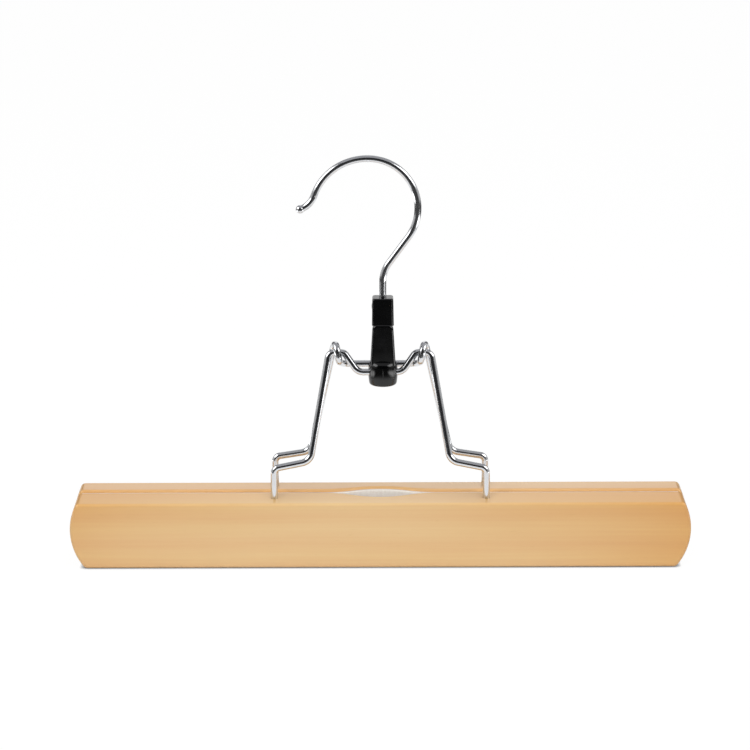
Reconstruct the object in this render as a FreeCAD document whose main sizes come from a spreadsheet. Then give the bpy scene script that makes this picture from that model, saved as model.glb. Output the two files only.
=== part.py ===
"""Skirt hanger: two felt-lined wooden bars hang from chromed wire frames that are hinged on each other.

A black lever turns on the front frame's bridge and hooks over the rear frame's bridge.
Upright, it holds the bars shut; tilted forward, it lets the rear bar swing away.
The steel hook swivels in the lever's socket.

Frame: x along the bars, y from front to back, z up. The origin lies under the middle of the two bars.
"""

import FreeCAD
import Part
import Sketcher
import math
import os
from FreeCAD import Placement, Rotation, Vector

SIZES = {
    # wooden bars
    "bar_length": 250.0,
    "bar_height": 28.4,
    "bar_thickness": 14.0,
    "bar_top_fall": 0.9,
    "bar_face_draw": 1.8,
    "bar_end_radius": 25.3,
    "bar_end_height": 15.9,
    "bar_corner_radius": 2.2,
    "bar_edge_radius": 1.2,
    "jaw_edge_radius": 1.2,
    "scoop_length": 46.0,
    "scoop_depth": 4.8,
    "scoop_blend_radius": 30.0,
    # felt linings
    "felt_thickness": 1.4,
    "felt_inset": 1.2,
    "glue_film": 0.05,
    "jaw_gap": 0.4,
    # wire frames
    "wire_diameter": 2.8,
    "leg_bend_radius": 2.5,
    "step_bend_radius": 4.8,
    "leg_spacing": 85.4,
    "leg_depth": 16.0,
    "front_leg_rise": 11.9,
    "rear_leg_rise": 12.0,
    "hole_clearance": 0.04,
    "hole_end_gap": 0.5,
    "front_step_in": 14.6,
    "rear_step_in": 14.3,
    "front_step_rise": 2.9,
    "rear_step_rise": 2.3,
    "hinge_rise": 57.8,
    "shoulder_spacing": 40.8,
    "shoulder_radius": 2.9,
    "swoop_spacing": 28.8,
    "front_bridge_length": 17.8,
    "front_bridge_drop": 7.8,
    "swoop_radius": 4.4,
    "eye_spacing": 34.6,
    "eye_advance": 0.9,
    "eye_clearance": 0.3,
    "rear_bridge_length": 29.2,
    "rear_bridge_drop": 5.4,
    "rear_bridge_back": 3.1,
    # lever
    "lever_offset": 1.2,
    "opening_angle": 20.0,
    "lever_angle": 50.0,
    "bore_clearance": 0.08,
    "slot_clearance": 0.32,
    "knob_diameter": 11.8,
    "knob_barrel_radius": 30.0,
    "knob_belly_rise": 0.2,
    "knob_ahead": 0.8,
    "knob_below": 5.2,
    "knob_above": 5.1,
    "knob_bottom_radius": 1.2,
    "knob_shoulder_radius": 2.7,
    "grip_foot_width": 10.3,
    "grip_head_width": 8.2,
    "grip_foot_front": 4.2,
    "grip_head_front": 4.9,
    "grip_back": 4.4,
    "grip_rise": 20.2,
    "grip_crown_radius": 2.2,
    "grip_edge_radius": 1.0,
    "socket_root": 0.6,
    "socket_rise": 30.6,
    "socket_foot_width": 8.8,
    "socket_head_width": 8.4,
    "socket_depth": 8.0,
    "socket_corner_radius": 1.2,
    "socket_edge_radius": 0.8,
    "nose_width": 9.0,
    "nose_wall": 1.7,
    "nose_drop": 1.2,
    # hook and its retaining pin
    "hook_diameter": 2.8,
    "hook_lean_rise": 10.3,
    "hook_lean_radius": 13.0,
    "crook_rise": 35.95,
    "crook_offset": 6.0,
    "crook_radius": 20.0,
    "crook_far_radius": 22.4,
    "crook_far_angle": 70.5,
    "flare_radius": 8.8,
    "flare_angle": 52.0,
    "ball_diameter": 3.5,
    "pin_depth": 3.9,
    "pin_diameter": 1.8,
    "pin_head_diameter": 4.0,
    "pin_head_height": 0.4,
    "pin_flange": 0.35,
    "pin_seat": 3.75,
    "pin_clearance": 0.02,
    "groove_floor_diameter": 1.7,
    "groove_clearance": 0.1,
    "foot_length": 3.0,
    "foot_clearance": 0.1,
}

doc = FreeCAD.newDocument("SkirtHanger")


def fill_sheet(name, values):
    """Writes one named value per row and gives each value cell its name as an alias."""
    sheet = doc.addObject("Spreadsheet::Sheet", name)
    for row, (alias, value) in enumerate(values.items(), start=1):
        sheet.set(f"A{row}", alias)
        sheet.set(f"B{row}", repr(float(value)))
        sheet.setAlias(f"B{row}", alias)
    doc.recompute()
    return sheet


sizes = fill_sheet("Sizes", SIZES)


def size(name):
    """One driving size, read back from the sheet."""
    return float(sizes.get(name))


def turned(y, z, degrees):
    """A point of the side view turned about the x axis, so that z leans towards -y."""
    angle = math.radians(degrees)
    return (
        y * math.cos(angle) - z * math.sin(angle),
        y * math.sin(angle) + z * math.cos(angle),
    )


def circle_through(first, second, third):
    """Centre and radius of the circle through three points of the side view."""
    (ay, az), (by, bz), (cy, cz) = first, second, third
    twice_area = 2 * (ay * (bz - cz) + by * (cz - az) + cy * (az - bz))
    a_square = ay * ay + az * az
    b_square = by * by + bz * bz
    c_square = cy * cy + cz * cz
    y = (a_square * (bz - cz) + b_square * (cz - az) + c_square * (az - bz)) / twice_area
    z = (a_square * (cy - by) + b_square * (ay - cy) + c_square * (by - ay)) / twice_area
    return y, z, math.hypot(ay - y, az - z)


def rear_bridge_seen_from_lever(share):
    """The rear bridge in the lever's own side view when both have made this share of their travel."""
    y, z = turned(
        size("rear_bridge_back"),
        -size("rear_bridge_drop"),
        share * size("opening_angle"),
    )
    from_front_bridge = turned(
        y - front_bridge_y,
        hinge_z + z - front_bridge_z,
        -share * size("lever_angle"),
    )
    return (
        front_bridge_y + from_front_bridge[0],
        front_bridge_z + from_front_bridge[1],
    )


# Places that follow from the sizes.
wire_radius = size("wire_diameter") / 2
jaw_face = size("jaw_gap") / 2 + size("felt_thickness") + size("glue_film")
leg_x = size("leg_spacing") / 2
leg_y = jaw_face + size("bar_thickness") / 2
bar_top = size("bar_height")
front_leg_top = bar_top + size("front_leg_rise")
rear_leg_top = bar_top + size("rear_leg_rise")
hinge_z = bar_top + size("hinge_rise")
front_lean = leg_y / (hinge_z - front_leg_top)
front_bridge_y = -front_lean * size("front_bridge_drop")
front_bridge_z = hinge_z - size("front_bridge_drop")
rear_bridge_y = size("rear_bridge_back")
rear_bridge_z = hinge_z - size("rear_bridge_drop")
slot_radius = wire_radius + size("slot_clearance")
slot_y, slot_z, slot_path_radius = circle_through(
    rear_bridge_seen_from_lever(0.0),
    rear_bridge_seen_from_lever(0.5),
    rear_bridge_seen_from_lever(1.0),
)
slot_start = math.atan2(rear_bridge_z - slot_z, rear_bridge_y - slot_y)
knob_bottom = front_bridge_z - size("knob_below")
slot_end = math.asin((knob_bottom - slot_z) / slot_path_radius)
knob_top = front_bridge_z + size("knob_above")
grip_top = front_bridge_z + size("grip_rise")
socket_top = front_bridge_z + size("socket_rise")
pin_z = socket_top - size("pin_depth")
groove_half = size("pin_diameter") / 2 + size("groove_clearance")
foot_bottom = pin_z - groove_half - size("foot_length")

places = fill_sheet(
    "Places",
    {
        "jaw_face": jaw_face,
        "leg_y": leg_y,
        "front_bridge_ahead": -front_bridge_y,
        "front_bridge_z": front_bridge_z,
        "rear_bridge_z": rear_bridge_z,
        "slot_y": slot_y,
        "slot_z": slot_z,
        "slot_path_radius": slot_path_radius,
        "slot_radius": slot_radius,
        "knob_bottom": knob_bottom,
        "knob_top": knob_top,
        "grip_top": grip_top,
        "socket_top": socket_top,
        "pin_z": pin_z,
        "groove_half": groove_half,
        "foot_bottom": foot_bottom,
    },
)

# Names of a sketch's own references and of the points of a line or an arc.
ORIGIN = (-1, 1)
ACROSS = -1
UPWARD = -2
START = 1
END = 2
CENTRE = 3


def plane_of(body, role):
    """One of the body's own three origin planes."""
    matches = [feature for feature in body.Origin.OriginFeatures if feature.Role == role]
    return matches[0]


def new_sketch(body, name, role, offset=None):
    """A sketch on one of the body's origin planes, moved along that plane's normal by an expression."""
    sketch = body.newObject("Sketcher::SketchObject", name)
    sketch.AttachmentSupport = [(plane_of(body, role), "")]
    sketch.MapMode = "FlatFace"
    if offset:
        sketch.setExpression("AttachmentOffset.Base.z", offset)
    doc.recompute()
    return sketch


def line(sketch, start, end):
    """A straight edge between two points of the sketch."""
    return sketch.addGeometry(Part.LineSegment(Vector(*start, 0), Vector(*end, 0)), False)


def arc(sketch, centre, radius, start_angle, end_angle):
    """An arc, counter-clockwise, with its angles in radians."""
    circle = Part.Circle(Vector(*centre, 0), Vector(0, 0, 1), radius)
    return sketch.addGeometry(Part.ArcOfCircle(circle, start_angle, end_angle), False)


def circle(sketch, centre, radius):
    """A full circle of the sketch."""
    return sketch.addGeometry(Part.Circle(Vector(*centre, 0), Vector(0, 0, 1), radius), False)


def relate(sketch, kind, *where):
    """A geometric constraint."""
    sketch.addConstraint(Sketcher.Constraint(kind, *where))


def dimension(sketch, expression, kind, *where):
    """A dimension that takes its value from the sheets."""
    value = float(sketch.evalExpression(expression))
    index = sketch.addConstraint(Sketcher.Constraint(kind, *where, value))
    sketch.setExpression(f"Constraints[{index}]", expression)


def polygon(sketch, corners):
    """A closed outline of straight edges; returns the index of each edge."""
    edges = []
    for number, corner in enumerate(corners):
        following = corners[(number + 1) % len(corners)]
        edges.append(line(sketch, corner, following))
    for number, edge in enumerate(edges):
        relate(sketch, "Coincident", edge, END, edges[(number + 1) % len(edges)], START)
    return edges


def feature(body, kind, name, sketch, **settings):
    """A pad, pocket or revolution of a sketch, with its plain settings."""
    made = body.newObject(f"PartDesign::{kind}", name)
    made.Profile = sketch
    for setting, value in settings.items():
        setattr(made, setting, value)
    sketch.Visibility = False
    return made


def cut(body, name, sketch, **settings):
    """A pocket that really takes material away."""
    before = body.Shape.Volume
    made = feature(body, "Pocket", name, sketch, **settings)
    doc.recompute()
    if body.Shape.Volume > before - 1e-3:
        raise RuntimeError(f"{name} cuts nothing")
    return made


def rounded(body, name, base, edges, radius):
    """A fillet on the named edges of a feature, with its radius from the sheets."""
    fillet = body.newObject("PartDesign::Fillet", name)
    fillet.Base = (base, edges)
    fillet.setExpression("Radius", radius)
    doc.recompute()
    return fillet


def edge_names(shape, wanted):
    """Names of the edges that a test picks."""
    return [f"Edge{number}" for number, edge in enumerate(shape.Edges, start=1) if wanted(edge)]


def lies_in_plane(edge, normal, level):
    """Whether all of an edge lies at one level along a direction."""
    marks = [edge.valueAt(edge.FirstParameter + share * (edge.LastParameter - edge.FirstParameter))
             for share in (0.0, 0.3, 0.5, 0.7, 1.0)]
    return all(abs(mark.dot(normal) - level) < 1e-4 for mark in marks)


def bar_outline(sketch, inset):
    """Front outline of a bar: two level edges and two bulging ends, drawn in by an inset."""
    margin = float(sketch.evalExpression(inset))
    radius = size("bar_end_radius") - margin
    centre_x = size("bar_length") / 2 - size("bar_end_radius")
    centre_z = size("bar_end_height")
    top_z = size("bar_height") - margin
    upper = math.asin((top_z - centre_z) / radius)
    lower = math.asin((centre_z - margin) / radius)
    top_x = centre_x + radius * math.cos(upper)
    bottom_x = centre_x + radius * math.cos(lower)
    bottom = line(sketch, (-bottom_x, margin), (bottom_x, margin))
    right = arc(sketch, (centre_x, centre_z), radius, -lower, upper)
    top = line(sketch, (top_x, top_z), (-top_x, top_z))
    left = arc(sketch, (-centre_x, centre_z), radius, math.pi - upper, math.pi + lower)
    relate(sketch, "Coincident", bottom, END, right, START)
    relate(sketch, "Coincident", right, END, top, START)
    relate(sketch, "Coincident", top, END, left, START)
    relate(sketch, "Coincident", left, END, bottom, START)
    relate(sketch, "Symmetric", bottom, START, bottom, END, UPWARD)
    relate(sketch, "Symmetric", top, START, top, END, UPWARD)
    relate(sketch, "Equal", right, left)
    dimension(sketch, f"Sizes.bar_end_radius - {inset}", "Radius", right)
    dimension(sketch, "Sizes.bar_length / 2 - Sizes.bar_end_radius", "DistanceX", *ORIGIN, right, CENTRE)
    dimension(sketch, "Sizes.bar_end_height", "DistanceY", *ORIGIN, right, CENTRE)
    dimension(sketch, f"Sizes.bar_end_height - {inset}", "DistanceY", bottom, END, right, CENTRE)
    above_centre = f"Sizes.bar_height - Sizes.bar_end_height - {inset}"
    dimension(sketch, above_centre, "DistanceY", right, CENTRE, top, START)


def jaw_profile(sketch, level, blend, away):
    """Plan of a jaw face: flat, with a shallow scoop at its middle, closed off at a distance to one side.

    The face lies at y = -level. Two blends ease the scoop into the flats.
    """
    face = -float(sketch.evalExpression(level))
    ease = float(sketch.evalExpression(blend))
    far = float(sketch.evalExpression(away))
    half = size("scoop_length") / 2
    depth = size("scoop_depth")
    radii = (half * half + depth * depth) / (2 * depth)
    scoop = radii - ease
    reach = size("bar_length") / 2 + size("bar_thickness")
    lean = math.atan2(radii - depth, half)
    meet_x = half - ease * math.cos(lean)
    meet_y = face - ease + ease * math.sin(lean)
    left_flat = line(sketch, (-reach, face), (-half, face))
    left_ease = arc(sketch, (-half, face - ease), ease, lean, math.pi / 2)
    hollow = arc(sketch, (0, face - depth + scoop), scoop, math.pi + lean, 2 * math.pi - lean)
    right_ease = arc(sketch, (half, face - ease), ease, math.pi / 2, math.pi - lean)
    right_flat = line(sketch, (half, face), (reach, face))
    right_side = line(sketch, (reach, face), (reach, face + far))
    far_side = line(sketch, (reach, face + far), (-reach, face + far))
    left_side = line(sketch, (-reach, face + far), (-reach, face))
    relate(sketch, "Tangent", left_flat, END, left_ease, END)
    relate(sketch, "Tangent", left_ease, START, hollow, START)
    relate(sketch, "Tangent", hollow, END, right_ease, END)
    relate(sketch, "Tangent", right_ease, START, right_flat, START)
    relate(sketch, "Coincident", right_flat, END, right_side, START)
    relate(sketch, "Coincident", right_side, END, far_side, START)
    relate(sketch, "Coincident", far_side, END, left_side, START)
    relate(sketch, "Coincident", left_side, END, left_flat, START)
    for level_edge in (left_flat, right_flat, far_side):
        relate(sketch, "Horizontal", level_edge)
    for upright_edge in (right_side, left_side):
        relate(sketch, "Vertical", upright_edge)
    relate(sketch, "Symmetric", left_flat, START, right_flat, END, UPWARD)
    relate(sketch, "PointOnObject", hollow, CENTRE, UPWARD)
    relate(sketch, "Equal", left_ease, right_ease)
    dimension(sketch, blend, "Radius", left_ease)
    scoop_radius = "(Sizes.scoop_length ^ 2 / 4 + Sizes.scoop_depth ^ 2) / (2 * Sizes.scoop_depth)"
    dimension(sketch, f"{scoop_radius} - ({blend})", "Radius", hollow)
    dimension(sketch, "Sizes.scoop_length", "DistanceX", left_flat, END, right_flat, START)
    whole = "Sizes.bar_length + 2 * Sizes.bar_thickness"
    dimension(sketch, whole, "DistanceX", left_flat, START, right_flat, END)
    dimension(sketch, level, "DistanceY", left_flat, START, *ORIGIN)
    if far > 0:
        dimension(sketch, away, "DistanceY", left_side, END, left_side, START)
    else:
        dimension(sketch, f"-({away})", "DistanceY", left_side, START, left_side, END)


def plane_face(body, name, level, blend, away):
    """Planes a blank to a jaw profile over its whole height."""
    sketch = new_sketch(body, f"{name}Profile", "XY_Plane")
    jaw_profile(sketch, level, blend, away)
    return cut(body, name, sketch, Type="ThroughAll", Reversed=True)


def is_jaw_rim(shape, edge):
    """Whether an edge bounds the jaw face: just one of its two faces looks at the other bar."""
    middle = edge.valueAt((edge.FirstParameter + edge.LastParameter) / 2)
    looking = 0
    for face in shape.ancestorsOfType(edge, Part.Face):
        u, v = face.Surface.parameter(middle)
        if face.normalAt(u, v).y > 0.9:
            looking += 1
    return looking == 1


def slant(body, name, level, rise, run):
    """Planes a sloping face: takes off a wedge with its square corner on the bar's outer edge."""
    outer = -jaw_face - size("bar_thickness")
    foot = float(sizes.evalExpression(level))
    up = float(sizes.evalExpression(rise))
    across = float(sizes.evalExpression(run))
    sketch = new_sketch(body, f"{name}Profile", "YZ_Plane")
    edges = polygon(sketch, [(outer, foot), (outer + across, foot), (outer, foot + up)])
    relate(sketch, "Horizontal", edges[0])
    relate(sketch, "Vertical", edges[2])
    dimension(sketch, "Places.jaw_face + Sizes.bar_thickness", "DistanceX", edges[0], START, *ORIGIN)
    dimension(sketch, run, "DistanceX", edges[0], START, edges[0], END)
    if foot > 0:
        dimension(sketch, level, "DistanceY", *ORIGIN, edges[0], START)
    else:
        relate(sketch, "PointOnObject", edges[0], START, ACROSS)
    ends = (edges[0], START, edges[2], START) if up > 0 else (edges[2], START, edges[0], START)
    dimension(sketch, f"abs({rise})", "DistanceY", *ends)
    return cut(body, name, sketch, SideType="Symmetric", Type="ThroughAll")


def make_bar(label, half_turn):
    """A wooden bar: bulging ends, a scooped jaw face, a leaning top and outer face and two leg holes."""
    body = doc.addObject("PartDesign::Body", label)
    outline = new_sketch(body, "Outline", "XZ_Plane")
    bar_outline(outline, "0")
    blank = feature(body, "Pad", "Blank", outline)
    blank.setExpression("Length", "Places.jaw_face + Sizes.bar_thickness")
    doc.recompute()
    plane_face(body, "JawFace", "Places.jaw_face", "Sizes.scoop_blend_radius", "Sizes.bar_thickness")
    slant(body, "TopFall", "Sizes.bar_height", "-Sizes.bar_top_fall", "Sizes.bar_thickness")
    face = slant(body, "FaceDraw", "0", "Sizes.bar_height", "Sizes.bar_face_draw")
    across = Vector(0, 1, 0)
    ends = edge_names(face.Shape, lambda edge: abs(edge.tangentAt(edge.FirstParameter).dot(across)) > 0.9)
    corners = rounded(body, "Corners", face, ends, "Sizes.bar_corner_radius")
    outside = size("bar_face_draw") - jaw_face - size("bar_thickness")
    leaning = Vector(0, 1, size("bar_face_draw") / size("bar_height"))
    rim = edge_names(corners.Shape, lambda edge: lies_in_plane(edge, leaning, outside))
    outer = rounded(body, "OuterEdges", corners, rim, "Sizes.bar_edge_radius")
    rim = edge_names(outer.Shape, lambda edge: is_jaw_rim(outer.Shape, edge))
    rounded(body, "JawEdges", outer, rim, "Sizes.jaw_edge_radius")
    holes = new_sketch(body, "LegHoles", "XY_Plane", "Sizes.bar_height")
    radius = wire_radius + size("hole_clearance")
    for side in (-1, 1):
        hole = circle(holes, (side * leg_x, -leg_y), radius)
        ends = (hole, CENTRE, *ORIGIN) if side < 0 else (*ORIGIN, hole, CENTRE)
        dimension(holes, "Sizes.wire_diameter / 2 + Sizes.hole_clearance", "Radius", hole)
        dimension(holes, "Sizes.leg_spacing / 2", "DistanceX", *ends)
        dimension(holes, "Places.leg_y", "DistanceY", hole, CENTRE, *ORIGIN)
    drilling = cut(body, "Drilling", holes)
    drilling.setExpression("Length", "Sizes.leg_depth + Sizes.hole_end_gap")
    body.Placement = Placement(Vector(), Rotation(Vector(0, 0, 1), half_turn))
    return body


def make_felt(label, half_turn):
    """A felt lining of even thickness that follows its bar's jaw face a little inside the bar's outline."""
    body = doc.addObject("PartDesign::Body", label)
    outline = new_sketch(body, "Outline", "XZ_Plane")
    bar_outline(outline, "Sizes.felt_inset")
    blank = feature(body, "Pad", "Blank", outline)
    blank.setExpression("Length", "Places.jaw_face + Sizes.scoop_depth")
    doc.recompute()
    plane_face(
        body,
        "GluedFace",
        "Places.jaw_face - Sizes.glue_film",
        "Sizes.scoop_blend_radius + Sizes.glue_film",
        "-2 * Sizes.scoop_depth",
    )
    plane_face(
        body,
        "GripFace",
        "Sizes.jaw_gap / 2",
        "Sizes.scoop_blend_radius + Sizes.glue_film + Sizes.felt_thickness",
        "Sizes.jaw_gap",
    )
    body.Placement = Placement(Vector(), Rotation(Vector(0, 0, 1), half_turn))
    return body


def bent_path(corners):
    """Straight runs joined by tangent bends, from corners given as a point with its bend radius."""
    edges = []
    last = corners[0][0]
    for before, (corner, radius), after in zip(corners, corners[1:], corners[2:]):
        arriving = (corner - before[0]).normalize()
        leaving = (after[0] - corner).normalize()
        turn = arriving.getAngle(leaving)
        setback = radius * math.tan(turn / 2)
        start = corner - arriving * setback
        end = corner + leaving * setback
        inward = (leaving - arriving).normalize()
        middle = corner + inward * (radius / math.cos(turn / 2) - radius)
        if (start - last).Length > 1e-4:
            edges.append(Part.LineSegment(last, start).toShape())
        edges.append(Part.Arc(start, middle, end).toShape())
        last = end
    edges.append(Part.LineSegment(last, corners[-1][0]).toShape())
    return edges


def mirrored(corners):
    """Adds the right half of a frame to its left half, in order along the wire."""
    return corners + [(Vector(-point.x, point.y, point.z), radius) for point, radius in reversed(corners)]


def swept(name, edges, diameter):
    """A round wire along a path that starts upwards."""
    spine = doc.addObject("Part::Feature", f"{name}_path")
    spine.Shape = Part.Wire(edges)
    section = doc.addObject("Part::Circle", f"{name}_section")
    section.setExpression("Radius", f"Sizes.{diameter} / 2")
    section.Placement = Placement(edges[0].valueAt(edges[0].FirstParameter), Rotation())
    wire = doc.addObject("Part::Sweep", name)
    wire.Sections = [section]
    wire.Spine = (spine, [f"Edge{number}" for number in range(1, len(edges) + 1)])
    wire.Solid = True
    doc.recompute()
    length = sum(edge.Length for edge in edges)
    expected = math.pi * size(diameter) ** 2 / 4 * length
    if abs(wire.Shape.Volume / expected - 1) > 0.002:
        raise RuntimeError(f"{name} has lost part of its length")
    return wire


def make_front_wire():
    """Front frame: legs, inward steps, leaning uprights, the two hinge stretches and the dipped bridge."""
    step_z = front_leg_top + size("front_step_rise")
    step_y = -leg_y + front_lean * size("front_step_rise")
    left = [
        (Vector(-leg_x, -leg_y, bar_top - size("leg_depth")), 0),
        (Vector(-leg_x, -leg_y, front_leg_top), size("leg_bend_radius")),
        (Vector(-leg_x + size("front_step_in"), step_y, step_z), size("step_bend_radius")),
        (Vector(-size("shoulder_spacing") / 2, 0, hinge_z), size("shoulder_radius")),
        (Vector(-size("swoop_spacing") / 2, 0, hinge_z), size("shoulder_radius")),
        (Vector(-size("front_bridge_length") / 2, front_bridge_y, front_bridge_z), size("swoop_radius")),
    ]
    return swept("front_wire", bent_path(mirrored(left)), "wire_diameter")


def make_rear_wire():
    """Rear frame: as the front one, but each upright winds an eye round the front frame's hinge stretch."""
    eye = size("wire_diameter") + size("eye_clearance")
    eye_x = -size("eye_spacing") / 2
    advance = size("eye_advance")
    step_z = rear_leg_top + size("rear_step_rise")
    rear_lean = (leg_y - eye) / (hinge_z + eye - rear_leg_top)
    step_y = leg_y - rear_lean * size("rear_step_rise")
    left = [
        (Vector(-leg_x, leg_y, bar_top - size("leg_depth")), 0),
        (Vector(-leg_x, leg_y, rear_leg_top), size("leg_bend_radius")),
        (Vector(-leg_x + size("rear_step_in"), step_y, step_z), size("step_bend_radius")),
        (Vector(eye_x - advance, eye, hinge_z + eye), eye),
        (Vector(eye_x, -eye, hinge_z + eye), eye),
        (Vector(eye_x + advance, -eye, hinge_z - eye), eye),
        (Vector(-size("rear_bridge_length") / 2, rear_bridge_y, rear_bridge_z), size("shoulder_radius")),
    ]
    return swept("rear_wire", bent_path(mirrored(left)), "wire_diameter")


def round_arc(centre, radius, start_degrees, end_degrees):
    """An arc in the hook's upright plane."""
    marks = []
    for degrees in (start_degrees, (start_degrees + end_degrees) / 2, end_degrees):
        angle = math.radians(degrees)
        marks.append(Vector(centre.x + radius * math.cos(angle), 0, centre.z + radius * math.sin(angle)))
    return Part.Arc(*marks).toShape()


def make_hook():
    """The hook: a grooved foot, a shank that leans over, a round crook, a flared end and a ball tip."""
    shank_x = size("lever_offset")
    crook = Vector(shank_x - size("crook_offset"), 0, socket_top + size("crook_rise"))
    lean = Vector(shank_x, 0, socket_top + size("hook_lean_rise"))
    reach = lean - crook
    tangent = math.degrees(math.atan2(reach.z, reach.x) + math.acos(size("crook_radius") / reach.Length))
    first_arc = round_arc(crook, size("crook_radius"), tangent, 90)
    far_centre = crook + Vector(0, 0, size("crook_radius") - size("crook_far_radius"))
    far_end = 90 + size("crook_far_angle")
    second_arc = round_arc(far_centre, size("crook_far_radius"), 90, far_end)
    outward = Vector(math.cos(math.radians(far_end)), 0, math.sin(math.radians(far_end)))
    flare_centre = far_centre + outward * (size("crook_far_radius") + size("flare_radius"))
    flare_start = far_end - 180
    flare = round_arc(flare_centre, size("flare_radius"), flare_start, flare_start - size("flare_angle"))
    neck_top = pin_z + groove_half
    shank = bent_path(
        [
            (Vector(shank_x, 0, neck_top), 0),
            (lean, size("hook_lean_radius")),
            (first_arc.valueAt(first_arc.FirstParameter), 0),
        ]
    )
    wire = swept("hook_wire", shank + [first_arc, second_arc, flare], "hook_diameter")
    ball = doc.addObject("Part::Sphere", "hook_ball")
    ball.setExpression("Radius", "Sizes.ball_diameter / 2")
    ball.Placement = Placement(flare.valueAt(flare.LastParameter), Rotation())
    neck = doc.addObject("Part::Cylinder", "hook_neck")
    neck.setExpression("Radius", "Sizes.groove_floor_diameter / 2")
    neck.setExpression("Height", "2 * Places.groove_half")
    neck.setExpression("Placement.Base.x", "Sizes.lever_offset")
    neck.setExpression("Placement.Base.z", "Places.pin_z - Places.groove_half")
    foot = doc.addObject("Part::Cylinder", "hook_foot")
    foot.setExpression("Radius", "Sizes.hook_diameter / 2")
    foot.setExpression("Height", "Sizes.foot_length")
    foot.setExpression("Placement.Base.x", "Sizes.lever_offset")
    foot.setExpression("Placement.Base.z", "Places.foot_bottom")
    hook = doc.addObject("Part::MultiFuse", "hook")
    hook.Shapes = [wire, ball, neck, foot]
    doc.recompute()
    return hook


def make_pin():
    """A round-headed pin through the socket's side, whose tip runs in the groove of the hook's foot."""
    body = doc.addObject("PartDesign::Body", "hook_retaining_pin")
    sketch = new_sketch(body, "Profile", "XZ_Plane")
    tip = -(size("groove_floor_diameter") / 2 + size("groove_clearance"))
    seat = -size("pin_seat")
    rim = seat - size("pin_flange")
    crown = rim - size("pin_head_height")
    shaft_radius = size("pin_diameter") / 2
    head_radius = size("pin_head_diameter") / 2
    height = size("pin_head_height")
    dome_radius = (head_radius ** 2 + height ** 2) / (2 * height)
    dome_angle = math.asin(head_radius / dome_radius)
    axis = line(sketch, (crown, 0), (tip, 0))
    end = line(sketch, (tip, 0), (tip, shaft_radius))
    shaft = line(sketch, (tip, shaft_radius), (seat, shaft_radius))
    under = line(sketch, (seat, shaft_radius), (seat, head_radius))
    edge = line(sketch, (seat, head_radius), (rim, head_radius))
    dome = arc(sketch, (crown + dome_radius, 0), dome_radius, math.pi - dome_angle, math.pi)
    chain = [(axis, end), (end, shaft), (shaft, under), (under, edge)]
    for first, second in chain:
        relate(sketch, "Coincident", first, END, second, START)
    relate(sketch, "Coincident", edge, END, dome, START)
    relate(sketch, "Coincident", dome, END, axis, START)
    relate(sketch, "PointOnObject", axis, START, ACROSS)
    relate(sketch, "PointOnObject", axis, END, ACROSS)
    relate(sketch, "PointOnObject", dome, CENTRE, ACROSS)
    for upright in (end, under):
        relate(sketch, "Vertical", upright)
    for level in (shaft, edge):
        relate(sketch, "Horizontal", level)
    tip_gap = "Sizes.groove_floor_diameter / 2 + Sizes.groove_clearance"
    dimension(sketch, tip_gap, "DistanceX", end, START, *ORIGIN)
    dimension(sketch, "Sizes.pin_seat", "DistanceX", under, START, *ORIGIN)
    dimension(sketch, "Sizes.pin_flange", "DistanceX", edge, END, edge, START)
    dimension(sketch, "Sizes.pin_head_height", "DistanceX", dome, END, dome, START)
    dimension(sketch, "Sizes.pin_diameter / 2", "DistanceY", *ORIGIN, shaft, START)
    dimension(sketch, "Sizes.pin_head_diameter / 2", "DistanceY", *ORIGIN, edge, START)
    feature(body, "Revolution", "Turning", sketch, ReferenceAxis=(sketch, ["H_Axis"]), Angle=360)
    body.setExpression("Placement.Base.x", "Sizes.lever_offset")
    body.setExpression("Placement.Base.z", "Places.pin_z")
    doc.recompute()
    return body


def is_grip_crown(edge):
    """Whether an edge runs from front to back along the grip's top."""
    level = lies_in_plane(edge, Vector(0, 0, 1), grip_top)
    return level and abs(edge.tangentAt(edge.FirstParameter).y) > 0.9


def is_grip_rim(edge, below):
    """Whether an edge bounds the grip's front or its back, apart from its foot."""
    if lies_in_plane(edge, Vector(0, 0, 1), below):
        return False
    lean = (size("grip_head_front") - size("grip_foot_front")) / (grip_top - below)
    in_front = lies_in_plane(edge, Vector(0, 1, lean), lean * below - size("grip_foot_front"))
    return in_front or lies_in_plane(edge, Vector(0, 1, 0), size("grip_back"))


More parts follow.
